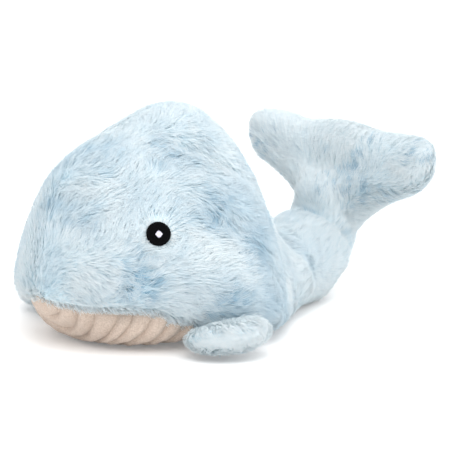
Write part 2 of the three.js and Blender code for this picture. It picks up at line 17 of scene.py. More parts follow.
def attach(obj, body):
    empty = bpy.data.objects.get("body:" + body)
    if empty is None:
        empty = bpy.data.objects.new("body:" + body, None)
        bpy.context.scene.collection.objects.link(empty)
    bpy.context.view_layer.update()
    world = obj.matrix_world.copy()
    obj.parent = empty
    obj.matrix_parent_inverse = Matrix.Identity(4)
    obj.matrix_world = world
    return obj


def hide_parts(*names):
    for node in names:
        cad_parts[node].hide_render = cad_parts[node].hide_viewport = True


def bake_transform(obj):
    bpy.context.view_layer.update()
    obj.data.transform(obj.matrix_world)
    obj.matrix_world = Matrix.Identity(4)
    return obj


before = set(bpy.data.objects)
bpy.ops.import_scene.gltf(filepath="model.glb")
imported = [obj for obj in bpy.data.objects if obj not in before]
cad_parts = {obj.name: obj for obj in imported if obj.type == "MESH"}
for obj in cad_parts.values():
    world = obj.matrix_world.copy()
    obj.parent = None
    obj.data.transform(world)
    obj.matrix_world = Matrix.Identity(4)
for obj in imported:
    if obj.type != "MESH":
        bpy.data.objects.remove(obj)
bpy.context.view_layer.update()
MM = 0.001
SIDES = (("left", -1), ("right", 1))

# ---- sizes of body and tail
BODY_LENGTH, BODY_WIDTH, BODY_HEIGHT = 217, 200, 167
NOSE_SETBACK, NOSE_HEIGHT, NOSE_ROUND = 106, 41, 43
REST_DEPTH = 0.5
TAIL_ROOT_THICKNESS, TAIL_ROOT_WIDTH, TAIL_ROOT_RISE = 68, 106, 34
TAIL_STRAIGHT, TAIL_BEND_RADIUS, TAIL_BEND = 24, 36, radians(48)
TAIL_THICKNESS, TAIL_WIDTH = 66, 58
NECK_SEAM_RADIUS = 33
TAIL_RUN = TAIL_STRAIGHT + TAIL_BEND_RADIUS * TAIL_BEND + NECK_SEAM_RADIUS
WHOLE_RUN = BODY_LENGTH + TAIL_RUN
ROOT_X = BODY_LENGTH - NOSE_SETBACK

# Sections: the place along the body as a share of its length, the heights of back, underside and widest point
# as shares of its height, and the width as a share of its width.
BODY_SHARES = [
    [0, 0.56, 0.14, 0.22, 0.36],
    [0.1, 0.71, 0.09, 0.235, 0.55],
    [0.2, 0.828, 0.015, 0.28, 0.695],
    [0.32, 0.894, 0, 0.315, 0.84],
    [0.44, 0.956, 0, 0.29, 0.955],
    [0.55, 1, 0, 0.228, 1],
    [0.66, 0.974, 0, 0.15, 0.985],
    [0.76, 0.9, 0, 0.12, 0.86],
    [0.86, 0.73, 0, 0.13, 0.69],
    [0.93, 0.55, 0, 0.14, 0.59],
]
# The same for the tail: the place along it, back, underside and width.
TAIL_SHARES = [[0.2, 1, 1.04, 1.54], [0.4, 0.98, 1.14, 1.22], [0.6, 0.95, 0.99, 1.03], [1, 0.9, 0.9, 0.88]]
LOWER_POWER, UPPER_POWER, TAIL_POWER = 3, 1.5, 2.2  # how square the sections are

# ---- sizes of belly, fluke, fins and eyes
BELLY_START, BELLY_LENGTH, BELLY_HALF_WIDTH, BELLY_REAR = 1, 137, 84, 69
BELLY_SEAM_HEIGHT, BELLY_TUCK = 37, 5
BELLY_END = BELLY_START + BELLY_LENGTH
BELLY_SEAM_SHARES = [[0, 1], [0.13, 0.9], [0.38, 0.8], [0.5, 0.55]]
PLEAT_PITCH, PLEAT_CREST = 12, 0.4

FLUKE_SPAN, FLUKE_CHORD, FLUKE_THICKNESS = 198, 64, 38
NECK_WIDTH, NECK_THICKNESS, NECK_RUN = 49, 63, 40
NECK_STRAIGHT, NECK_BEND_RADIUS, NECK_BEND = 1, 40, radians(41)
# A lobe's outline, as shares of half the span and of the chord.
FLUKE_LOBE_SHARES = [
    *([0.41, 0.06], [0.6, 0.22], [0.79, 0.33], [0.94, 0.47], [1, 0.64], [1, 0.82]),
    *([0.94, 0.94], [0.8, 1], [0.6, 0.98], [0.38, 0.965], [0.18, 1]),
]
FLUKE_CREST, FLUKE_MIDDLE, RIM_POWER = 1.02, 0.4, 3.2
TIP_BEND, NEAR_TIP_SHORTER = 3, 0.24  # the near tip lies lower and is shorter, the far one lies higher

FIN_LENGTH, FIN_WIDTH, FIN_THICKNESS = 34, 58, 18
FIN_ROOT_THICKNESS, FIN_ROOT_TAPER = 5, 18
FIN_STATION, FIN_HEIGHT = 96, 18
FIN_SEAM_RISE, FIN_SWEEP, FIN_DROOP = np.radians([8, 8, 6])
# A flipper's outline, rearward and outward, as shares of its width and length.
FIN_OUTLINE_SHARES = [
    *([-0.36, 0], [0.36, 0], [0.52, 0.28], [0.48, 0.66], [0.28, 0.94]),
    *([0, 1], [-0.26, 0.88], [-0.44, 0.58], [-0.48, 0.24]),
]

EYE_DIAMETER, EYE_THICKNESS, EYE_CROWN, EYE_SINK = 17, 2.4, 1, 2
EYE_STATION, EYE_HEIGHT = 61, 87.4
GLINT_WIDTH, GLINT_HEIGHT = 5, 5.6

PILE, FIN_PILE = 5.5, 2.5  # height of the lying fur over its backing


# ---- forms
def smooth_table(rows):
    """Monotone cubic interpolation through the rows of a table whose first column rises."""
    rows = np.array(rows, float)
    x, y = rows[:, 0], rows[:, 1:]
    span = np.diff(x)[:, None]
    chord = np.diff(y, axis=0) / span
    slope = np.zeros_like(y)
    slope[0], slope[-1] = chord[0], chord[-1]
    near, far = 2 * span[1:] + span[:-1], span[1:] + 2 * span[:-1]
    same = chord[:-1] * chord[1:] > 0
    before, after = np.where(same, chord[:-1], 1), np.where(same, chord[1:], 1)
    slope[1:-1] = np.where(same, (near + far) / (near / before + far / after), 0)

    def at(value):
        value = np.clip(value, x[0], x[-1])
        i = np.clip(np.searchsorted(x, value, side="right") - 1, 0, len(x) - 2)
        width = (x[i + 1] - x[i])[..., None]
        t = (value - x[i])[..., None] / width
        a, b, rise, fall = y[i], y[i + 1], slope[i] * width, slope[i + 1] * width
        return a + t * (rise + t * (3 * (b - a) - 2 * rise - fall + t * (2 * (a - b) + rise + fall)))

    return at


def smoothstep(x, low, high):
    t = np.clip((x - low) / (high - low), 0, 1)
    return t * t * (3 - 2 * t)


def band(x, start, full, ebb, end):
    """Rises from 0 to 1 between start and full, and falls again between ebb and end."""
    return smoothstep(x, start, full) * (1 - smoothstep(x, ebb, end))


def bump(x, middle, width):
    return np.exp(-(((x - middle) / width) ** 2))


def bent_line(run, straight, radius, bend):
    """How far along and up a line is that runs straight, then round an arc, then straight on."""
    past = np.maximum(0, run - straight)
    slope = np.minimum(past / radius, bend)
    rest = past - radius * slope
    along = np.minimum(run, straight) + radius * np.sin(slope) + rest * np.cos(slope)
    return along, radius * (1 - np.cos(slope)) + rest * np.sin(slope), slope


def spine_at(run):
    along, up, slope = bent_line(run - BODY_LENGTH, TAIL_STRAIGHT, TAIL_BEND_RADIUS, TAIL_BEND)
    return ROOT_X + along, TAIL_ROOT_RISE + up, slope


def section_rows():
    """Place of each section, heights of back, underside and widest point from the spine, and half width."""
    for along, back, under, widest, width in BODY_SHARES:
        heights = np.array([back, under, widest]) * BODY_HEIGHT - [0, REST_DEPTH, 0] - TAIL_ROOT_RISE
        yield [along * BODY_LENGTH, *heights, width * BODY_WIDTH / 2]
    half = TAIL_ROOT_THICKNESS / 2
    yield [BODY_LENGTH, half, -half, 0, TAIL_ROOT_WIDTH / 2]
    half = TAIL_THICKNESS / 2
    for along, back, under, wide in TAIL_SHARES:
        yield [BODY_LENGTH + along * TAIL_RUN, back * half, -under * half, 0, wide * TAIL_WIDTH / 2]


section_sizes = smooth_table(list(section_rows()))
seam_height_share = smooth_table(BELLY_SEAM_SHARES)


def surface_point(run, angle):
    """A point on the outer surface: run from the nose, and angle round the section from the underside (0) by
    the toy's left side to the back (half a turn)."""
    run, angle = np.broadcast_arrays(np.asarray(run, float), np.asarray(angle, float))
    x, z, slope = spine_at(run)
    back, under, widest, half_width = np.moveaxis(section_sizes(run), -1, 0)
    swell = np.sqrt(1 - (1 - np.minimum(run / NOSE_ROUND, 1)) ** 2)
    nose_rise = NOSE_HEIGHT - TAIL_ROOT_RISE
    low = np.cos(angle) > 0
    tailward = smoothstep(run, NOSE_SETBACK, BODY_LENGTH) ** 2
    power = 2 / np.where(low, LOWER_POWER, UPPER_POWER + (TAIL_POWER - UPPER_POWER) * tailward)
    reach = (np.where(low, under, back) - widest) * np.abs(np.cos(angle)) ** power
    side = half_width * np.abs(np.sin(angle)) ** power * np.sign(np.sin(angle))
    rise = nose_rise + (widest + reach - nose_rise) * swell
    return np.stack([x - rise * np.sin(slope), -side * swell, z + rise * np.cos(slope)], -1)


def full_turn(count):
    return np.linspace(0, tau, count, endpoint=False)


def size(v):
    return np.linalg.norm(v, axis=-1)


def unit(v):
    return v / np.maximum(np.linalg.norm(v, axis=-1, keepdims=True), 1e-9)


def surface_normal(run, angle):
    turn = radians(0.5)
    step = BODY_WIDTH / 2 * turn
    run = np.maximum(run, 2 * step)
    along = surface_point(run + step, angle) - surface_point(run - step, angle)
    round_ = surface_point(run, angle + turn) - surface_point(run, angle - turn)
    return unit(np.cross(along, round_))


def inset_point(run, angle, depth):
    return surface_point(run, angle) - surface_normal(run, angle) * np.asarray(depth, float)[..., None]


def angle_at_height(run, height):
    """The angle round the section where the side stands at a height."""
    run, height = np.broadcast_arrays(np.asarray(run, float), np.asarray(height, float))
    low, high = np.zeros(run.shape), np.full(run.shape, pi)
    for _ in range(30):
        middle = (low + high) / 2
        below = surface_point(run, middle)[..., 2] < height
        low, high = np.where(below, middle, low), np.where(below, high, middle)
    return (low + high) / 2


def belly_angle(run):
    """The angle round the section of the seam between belly and side panel."""
    run = np.asarray(run, float)
    taper = np.maximum(0, 1 - (BELLY_END - run) / BELLY_REAR)
    half_width = -surface_point(run, pi / 2)[..., 1]
    spread = np.clip(BELLY_HALF_WIDTH * (1 - taper**2) / half_width, 0, 1)
    height = seam_height_share((run - BELLY_START) / BELLY_LENGTH)[..., 0] * BELLY_SEAM_HEIGHT
    seam = np.minimum(np.arcsin(spread ** (LOWER_POWER / 2)), angle_at_height(run, height))
    return np.where((run <= BELLY_START) | (run >= BELLY_END), 0, seam)


def blended(s, start, end, first, second):
    """The point at s on the straight way from the first, at start, to the second, at end."""
    return (end - s) / (end - start) * first + (s - start) / (end - start) * second


def closed_curve(points, count, steps=24):
    """Evenly spaced points on a smooth closed curve through the given ones."""
    knots = np.array(points, float)
    n = len(knots)
    fine = []
    for i in range(n):
        p = [knots[(i + k - 1) % n] for k in range(4)]
        t = np.cumsum([0] + [size(p[k + 1] - p[k]) ** 0.5 for k in range(3)])
        for s in np.linspace(t[1], t[2], steps, endpoint=False):
            a = [blended(s, t[k], t[k + 1], p[k], p[k + 1]) for k in range(3)]
            b = [blended(s, t[k], t[k + 2], a[k], a[k + 1]) for k in range(2)]
            fine.append(blended(s, t[1], t[2], *b))
    fine = np.array(fine + fine[:1])
    length = np.concatenate([[0], np.cumsum(size(np.diff(fine, axis=0)))])
    at = np.linspace(0, length[-1], count, endpoint=False)
    return np.stack([np.interp(at, length, fine[:, k]) for k in range(2)], -1)


def drawn_in(outline, distance):
    along = unit(np.roll(outline, -1, 0) - np.roll(outline, 1, 0))
    return outline + np.stack([-along[:, 1], along[:, 0]], -1) * distance


def dome(outline, middle, height, root, rings):
    """Rings over a flat outline from the middle to the rim, and the same below. At the root it starts with a
    share of its height and comes to its own over a run from there."""
    start, run, thin = root
    above = []
    for share in np.sin(np.linspace(0, pi / 2, rings)):
        at = middle + (outline - middle) * share
        full = smoothstep(at[:, 1], start, start + run)
        z = height * sqrt(max(0, 1 - share**RIM_POWER)) * (thin * (1 - full) + full)
        above.append(np.concatenate([at, z[:, None]], 1))
    return np.array(above + [ring * [1, 1, -1] for ring in above[::-1][1:]])


def neck_axes():
    """The hinge at the neck, where the tail ends, and the heading there."""
    x, z, slope = spine_at(np.array(WHOLE_RUN))
    heading = np.array([cos(slope), 0, sin(slope)])
    return np.array([x, 0, z]) - heading * NECK_SEAM_RADIUS, heading


NECK_HINGE, NECK_HEADING = neck_axes()
NECK_BACK = np.cross(NECK_HEADING, [0, 1, 0])  # the direction of the tail's back there


def fluke_form(depth, points=128):
    """The bent fluke at a depth under its surface, as rings of points."""

    def reach(share):
        return NECK_SEAM_RADIUS + share * FLUKE_CHORD

    half = [
        [NECK_WIDTH / 3, -NECK_SEAM_RADIUS / 2],
        [NECK_WIDTH / 2, 0],
        [NECK_WIDTH / 2, 2 * NECK_SEAM_RADIUS / 3],
    ] + [[across * FLUKE_SPAN / 2, reach(along)] for across, along in FLUKE_LOBE_SHARES]
    other = [[-x, y] for x, y in half[::-1]]
    outline = closed_curve(half + [[0, reach(FLUKE_CREST)]] + other, points)
    middle = np.array([0, reach(FLUKE_MIDDLE)])
    neck = NECK_SEAM_RADIUS, NECK_RUN, NECK_THICKNESS / FLUKE_THICKNESS
    rings = dome(drawn_in(outline, depth), middle, FLUKE_THICKNESS / 2 - depth, neck, 14)
    run, out = rings[..., 1], rings[..., 2]
    along, up, slope = bent_line(run, NECK_SEAM_RADIUS + NECK_STRAIGHT, NECK_BEND_RADIUS, NECK_BEND)
    flat = np.stack([rings[..., 0], along + out * np.sin(slope), -up + out * np.cos(slope)], -1)
    near, far = (smoothstep(way * flat[..., 0], FLUKE_SPAN / 6, FLUKE_SPAN / 2.4) for way in (-1, 1))
    flat[..., 2] += TIP_BEND * (near - far)
    flat[..., 0] += NEAR_TIP_SHORTER * np.maximum(-flat[..., 0] - FLUKE_SPAN / 3, 0)
    return NECK_HINGE + flat @ np.array([[0, 1, 0], NECK_HEADING, -NECK_BACK])


def fin_axes(mirror):
    """Origin, rearward, outward and upward directions of a flipper at its seam."""
    runs = FIN_STATION + np.array([-1, 1]) * FIN_WIDTH / 4
    ends = surface_point(runs, angle_at_height(runs, FIN_HEIGHT))
    rearward = unit((ends[1] - ends[0]) * [1, 1, 0])
    outward = np.array([rearward[1], -rearward[0], -tan(FIN_DROOP)])
    rearward = unit(rearward + [0, 0, tan(FIN_SEAM_RISE)])
    outward = unit(outward - rearward * (outward @ rearward))
    seat = surface_point(FIN_STATION, angle_at_height(FIN_STATION, FIN_HEIGHT))
    flip = np.array([1, -mirror, 1])
    upward = np.cross(rearward, outward)
    if upward[2] < 0:
        upward = -upward
    return seat * flip, rearward * flip, outward * flip, upward * flip


def fin_form(mirror, depth, points=72):
    shear = tan(FIN_SWEEP)
    knots = [[a * FIN_WIDTH + o * FIN_LENGTH * shear, o * FIN_LENGTH] for a, o in FIN_OUTLINE_SHARES]
    front, rear, rest = knots[0], knots[1], knots[2:]
    tucked = [
        [front[0] + FIN_ROOT_THICKNESS, -FIN_ROOT_THICKNESS / 2],
        [rear[0] - FIN_ROOT_THICKNESS, -FIN_ROOT_THICKNESS / 2],
    ]
    outline = closed_curve([front] + tucked + [rear] + rest, points)
    middle = np.array([FIN_LENGTH / 2 * shear, FIN_LENGTH / 2])
    root = 0, FIN_ROOT_TAPER, FIN_ROOT_THICKNESS / FIN_THICKNESS
    rings = dome(drawn_in(outline, depth), middle, FIN_THICKNESS / 2 - depth, root, 10)
    origin, *axes = fin_axes(mirror)
    return origin + rings @ np.array(axes)


# ---- meshes
def new_object(name, data):
    obj = bpy.data.objects.new(name, data)
    bpy.context.scene.collection.objects.link(obj)
    return obj


def mesh_object(name, points, faces):
    """An object from points in millimetres and one or more arrays of faces, each a row of corners."""
    mesh = bpy.data.meshes.new(name)
    mesh.vertices.add(len(points))
    mesh.vertices.foreach_set("co", (np.asarray(points) * MM).astype(np.float32).ravel())
    groups = faces if isinstance(faces, list) else [faces]
    corners = np.concatenate([g.ravel() for g in groups]).astype(np.int32)
    sizes = np.concatenate([np.full(len(g), g.shape[1]) for g in groups])
    mesh.loops.add(len(corners))
    mesh.loops.foreach_set("vertex_index", corners)
    mesh.polygons.add(len(sizes))
    mesh.polygons.foreach_set("loop_start", np.concatenate([[0], np.cumsum(sizes)[:-1]]).astype(np.int32))
    mesh.update(calc_edges=True)
    mesh.validate()
    mesh.shade_smooth()
    return new_object(name, mesh)


def quads(rows, columns, closed=True, start=0):
    """Quads between stacked rows of points, each row closed to a ring or open."""
    i, j = np.meshgrid(np.arange(rows - 1), np.arange(columns if closed else columns - 1), indexing="ij")
    at, beside = i * columns + j, i * columns + (j + 1) % columns
    return start + np.stack([at, at + columns, beside + columns, beside], -1).reshape(-1, 4)


def stack_object(name, rings):
    """A closed skin over stacked rings, closed by a fan at each end, with its faces outwards."""
    rows, columns = rings.shape[:2]
    points = np.concatenate([rings.reshape(-1, 3), rings[0].mean(0)[None], rings[-1].mean(0)[None]])
    j = np.arange(columns)
    k = (j + 1) % columns
    count, start = rows * columns, (rows - 1) * columns
    first = np.stack([np.full(columns, count), j, k], -1)
    last = np.stack([np.full(columns, count + 1), start + k, start + j], -1)
    obj = mesh_object(name, points, [quads(rows, columns), first, last])
    bm = bmesh.new()
    bm.from_mesh(obj.data)
    bmesh.ops.remove_doubles(bm, verts=bm.verts, dist=0.02 * MM)
    bmesh.ops.recalc_face_normals(bm, faces=bm.faces)
    bm.to_mesh(obj.data)
    bm.free()
    obj.data.shade_smooth()
    return obj


def joined_skin(name, parts):
    """One skin round several closed forms that meet."""
    bm = bmesh.new()
    for part in parts:
        bm.from_mesh(part.data)
        bpy.data.objects.remove(part)
    mesh = bpy.data.meshes.new(name)
    bm.to_mesh(mesh)
    bm.free()
    obj = new_object(name, mesh)
    remesh = obj.modifiers.new("remesh", "REMESH")
    remesh.mode = "VOXEL"
    remesh.voxel_size = TAIL_VOXEL * MM
    smooth = obj.modifiers.new("smooth", "SMOOTH")
    smooth.factor, smooth.iterations = 0.5, TAIL_SMOOTHING
    evaluated = obj.evaluated_get(bpy.context.evaluated_depsgraph_get())
    final = bpy.data.meshes.new_from_object(evaluated)
    obj.modifiers.clear()
    obj.data = final
    final.shade_smooth()
    return obj


# ---- skins under the fur
CUT_PAST = 12  # where the body's fur gives way to the tail's, past the tail's root
CUT_RUN, CUT_X = BODY_LENGTH + CUT_PAST, ROOT_X + CUT_PAST
BODY_RUNS_ON, RUN_ON_DEPTH = 19, 0.7  # how far the body's backing runs on inside the tail's, and how deep
CHIN_RECESS, CHIN_START, CHIN_END = 15, 20, 70  # how far the chin's cloth lies back under the fur, and where
PLEAT_SHOWN = 4.8  # height of the pleats in cloth, more than the solid's
CLOTH_BACKING = 1.5  # from the pleats' valleys down to the backing
CREASE, CREASE_WIDTH, CREASE_DEPTH = 9.8, 3, 1.6  # the fold where the fluke is sewn on, from the neck's hinge
CREASE_DIP = 10  # how much nearer to the tail's root it lies on the underside
# How the stuffed toy differs from its sewn form: how much deeper it lies, from where to where along the run
# this comes and goes, and between which angles round the section, from the underside, it sets in.
SLACK = [
    (7.5, (152, 188, 212, 272), (1.3, 2.2)),  # over the rear of the back
    (1.5, (50, 95, 112, 145), (2, 2.7)),  # at the crown
    (-2, (150, 185, 200, 240), (1.5, 0.8)),  # the underside is fuller
]


def cloth_depth(run, share):
    """How deep the belly's cloth lies under the outer surface, from its middle (0) to its seam (1)."""
    return BELLY_TUCK * share**4 + CHIN_RECESS * share * (1 - smoothstep(run, CHIN_START, CHIN_END))


def settled(run, angle):
    """How much deeper than its sewn form the stuffed toy lies."""
    return sum(depth * band(run, *along) * smoothstep(angle, *around) for depth, along, around in SLACK)


def folded(angles):
    """Angles from the underside, alike on both sides."""
    return np.minimum(angles, tau - angles)


def tube_skin(name, runs, angles, depth):
    """A closed skin at a depth under the outer surface, and no lower than where the fur lies on the table."""
    rings = inset_point(runs, angles, depth)
    rings[..., 2] = np.maximum(rings[..., 2], PILE)
    return stack_object(name, rings)


def body_skin():
    """The body's backing, sunk behind the belly's cloth."""
    turn = np.linspace(0, pi / 2, 26, endpoint=False)[1:]
    behind_nose = np.arange(NOSE_ROUND, CUT_RUN + BODY_RUNS_ON, 3.0)
    runs = np.concatenate([NOSE_ROUND * (1 - np.cos(turn)), behind_nose])[:, None]
    angles = full_turn(180)[None, :]
    seam = belly_angle(runs)
    share = folded(angles) / np.maximum(seam, 1e-3)
    under_cloth = (1 - smoothstep(share, 0.97, 1.08)) * (seam > 0.02)
    cloth_back = cloth_depth(runs, np.minimum(share, 1)) + PLEAT_SHOWN + CLOTH_BACKING
    depth = PILE + under_cloth * np.maximum(cloth_back - PILE, 0)
    depth = depth + settled(runs, folded(angles)) + RUN_ON_DEPTH * smoothstep(runs, CUT_RUN - 2, CUT_RUN + 6)
    return tube_skin("body_fur_backing", runs, angles, depth)


NOTCH_ALONG, NOTCH_WIDTH, NOTCH_DEPTH = 14, 10, 9.5  # the dip at the back of the neck
THROAT_FILL = 2.5  # how far the neck is filled at its underside
TAIL_VOXEL, TAIL_SMOOTHING = 1.6, 34


def past_crease(points):
    """How far points lie past the fold between tail and fluke, which dips towards the underside."""
    away = points - NECK_HINGE
    along = away @ NECK_HEADING
    return along - CREASE + CREASE_DIP * smoothstep(-(away @ NECK_BACK), 5, 30)


def tail_skin():
    """The backing of tail and fluke in one, with the fold, the notch and the throat of the neck."""
    runs, angles = np.arange(BODY_LENGTH - 4, WHOLE_RUN - 12, 2.5)[:, None], full_turn(96)[None, :]
    tube = tube_skin("tail_tube", runs, angles, PILE + settled(runs, folded(angles)))
    lobes = stack_object("fluke_lobes", fluke_form(PILE - 1.5))
    skin = joined_skin("tail_fur_backing", [tube, lobes])
    bm = bmesh.new()
    bm.from_mesh(skin.data)
    bm.normal_update()
    for v in bm.verts:
        at = np.array(v.co) / MM
        along, back = (at - NECK_HINGE) @ NECK_HEADING, (at - NECK_HINGE) @ NECK_BACK
        fold = CREASE_DEPTH * bump(past_crease(at), 0, CREASE_WIDTH)
        notch = NOTCH_DEPTH * bump(along, NOTCH_ALONG, NOTCH_WIDTH) * smoothstep(back, 6, 24)
        throat = THROAT_FILL * bump(along, 0, NOTCH_WIDTH) * smoothstep(-back, 4, 20)
        v.co -= (v.normal * (fold - throat) + Vector(NECK_BACK) * notch) * MM
    geometry = bm.verts[:] + bm.edges[:] + bm.faces[:]
    cut, way = (CUT_X * MM, 0, 0), (-1, 0, 0)
    bmesh.ops.bisect_plane(bm, geom=geometry, plane_co=cut, plane_no=way, clear_outer=True)
    bm.to_mesh(skin.data)
    bm.free()
    return skin


# ---- fur
def waves(points, size, seed, count=9):
    """Smooth noise of unit spread with features of a size."""
    rng = np.random.default_rng(seed)
    heading = unit(rng.normal(size=(count, 3)))
    pace = tau / size * rng.uniform(0.6, 1.5, (count, 1)) * heading
    return np.sin(points @ pace.T + rng.uniform(0, tau, count)).sum(1) * sqrt(2 / count)


def turned(direction, normal, angle):
    return direction * np.cos(angle)[:, None] + np.cross(normal, direction) * np.sin(angle)[:, None]


def tangent(direction, normal):
    return unit(direction - normal * (direction * normal).sum(-1, keepdims=True))


def read(items, name, kind=float, width=3):
    values = np.zeros(len(items) * width, kind)
    items.foreach_get(name, values)
    return values.reshape(-1, width)


class Skin:
    """A backing to comb fur on: its triangles in millimetres, for scattering roots and laying strands."""

    def __init__(self, obj):
        mesh = obj.data
        mesh.calc_loop_triangles()
        self.points = read(mesh.vertices, "co") / MM
        self.normals = read(mesh.vertices, "normal")
        self.triangles = read(mesh.loop_triangles, "vertices", int)
        a, b, c = (self.points[self.triangles[:, k]] for k in range(3))
        self.areas = size(np.cross(b - a, c - a)) / 2
        self.tree = BVHTree.FromPolygons(self.points.tolist(), self.triangles.tolist(), epsilon=0)

    def scatter(self, density, rng):
        """Random points on the skin, so many to a square centimetre, and their normals."""
        count = int(self.areas.sum() / 100 * density)
        chosen = rng.choice(len(self.areas), count, p=self.areas / self.areas.sum())
        u, v = rng.random(count), rng.random(count)
        over = u + v > 1
        u, v = np.where(over, 1 - u, u), np.where(over, 1 - v, v)
        weights = np.stack([1 - u - v, u, v], -1)[..., None]
        corners = self.triangles[chosen]
        return (self.points[corners] * weights).sum(1), unit((self.normals[corners] * weights).sum(1))

    def nearest(self, points):
        """The nearest points of the skin, and the direction from them that leads outwards."""
        places, corners = np.zeros_like(points), np.zeros(len(points), int)
        find = self.tree.find_nearest
        for i, p in enumerate(points.tolist()):
            place, _, index, _ = find(p)
            places[i] = place
            corners[i] = index
        return places, unit(self.normals[self.triangles[corners]].sum(1))


STRAND_STEPS = (0.38, 0.72, 1.0)  # the places of a strand's points from root to tip
STRAND_RISES = (0.66, 0.97, 1.0)  # how high they lie, as shares of the coat
STRAND_WIDTHS = (0.9, 1.0, 0.7)
ROOT_SINK = 0.3
BODY_FUR, FIN_FUR = 11, 10  # length
STRAND_TURN, STRAND_REACH = 0.24, (0.7, 1.1)  # spread in radians, and as shares of the fur's length
TUFT_STRANDS, TUFT_TURN, TUFT_REACH = 10, 0.22, (0.8, 1.15)
TUFT_SPREAD, TUFT_DRAW = 0.5, (0.05, 0.42)  # how wide a tuft's tips stay, and how far it draws them together
TUFT_RISE, LOW_RISE = (0.88, 1), 0.6  # heights of the tufts and of their lowest strands
STRAY_SHARE, STRAY_RISE = 0.04, (1.1, 1.5)  # strands that stand off the coat


def comb(skin, seed, length, height, lay, coat, bare=None, clear=None):
    """Strands of fur on a skin. lay(points, normals) gives their direction, and coat(points) their height,
    blueness and length as shares. None grow where bare(points) holds, or lie where clear(points) does."""
    rng = np.random.default_rng(seed)
    roots, normals = skin.scatter(DENSITY, rng)
    if bare is not None:
        kept = ~bare(roots)
        roots, normals = roots[kept], normals[kept]
    tufts, tuft_normals = skin.scatter(DENSITY / TUFT_STRANDS, rng)
    tuft_lay = turned(lay(tufts, tuft_normals), tuft_normals, rng.normal(0, TUFT_TURN, len(tufts)))
    tuft_reach = length * rng.uniform(*TUFT_REACH, len(tufts)) * coat(tufts)[2]
    tuft_height = rng.uniform(*TUFT_RISE, len(tufts))
    tree = KDTree(len(tufts))
    for i, p in enumerate(tufts.tolist()):
        tree.insert(p, i)
    tree.balance()
    own = np.array([tree.find(p)[1] for p in roots.tolist()])
    rise, blue, reach = coat(roots)
    direction = turned(lay(roots, normals), normals, rng.normal(0, STRAND_TURN, len(roots)))
    tips = roots + direction * (reach * length * rng.uniform(*STRAND_REACH, len(roots)))[:, None]
    gathered = tufts[own] + (tuft_lay * tuft_reach[:, None])[own] + (roots - tufts[own]) * TUFT_SPREAD
    tips += (gathered - tips) * rng.uniform(*TUFT_DRAW, len(roots))[:, None]
    if clear is not None:
        kept = ~(clear(tips) | clear((roots + tips) / 2))
        roots, normals, tips, own, rise, blue = (v[kept] for v in (roots, normals, tips, own, rise, blue))
    layer = rng.random(len(roots)) ** 0.6
    top = height * rise * tuft_height[own] * (LOW_RISE + (1 - LOW_RISE) * layer)
    stray = rng.random(len(roots)) < STRAY_SHARE
    top = top * np.where(stray, rng.uniform(*STRAY_RISE, len(roots)), 1)
    rows, facing = [roots - normals * ROOT_SINK], [normals]
    for step, up in zip(STRAND_STEPS, STRAND_RISES):
        places, outward = skin.nearest(roots + (tips - roots) * step)
        rows.append(places + outward * (top * up)[:, None])
        facing.append(outward)
    tuft = rng.random(len(tufts))[own]
    return dict(rows=np.array(rows), facing=np.array(facing), layer=layer, blue=blue, tuft=tuft)


ROOT_BLUE = np.array([0.73, 0.86, 0.915])
DEEP_BLUE = np.array([0.22, 0.48, 0.64])
PALE_BLUE = np.array([0.82, 0.91, 0.94])
TIP_WHITE = np.array([0.94, 0.965, 0.975])
TINT_STEPS = (0.0, 0.6, 0.95, 1.0)  # from the root's tint to the tip's, along the strand
WHITE, WHITE_BY_LAYER, WHITE_BY_TUFT, WHITE_SPREAD = 0.3, 0.45, 0.3, 0.2  # how white the tips are
TIP_BLUE = 0.75  # how much of a place's blueness reaches the tips
ROLL, WIDTH_SPREAD = 0.35, (0.7, 1.3)
STRAND_CORNERS = 7
FLAT_SHARE = 0.95  # how far the ribbons take the light as the coat does, and not each for itself
LIGHT_THROUGH = 0.4  # share of the light that passes through a strand
PIECE_STRANDS = 38000


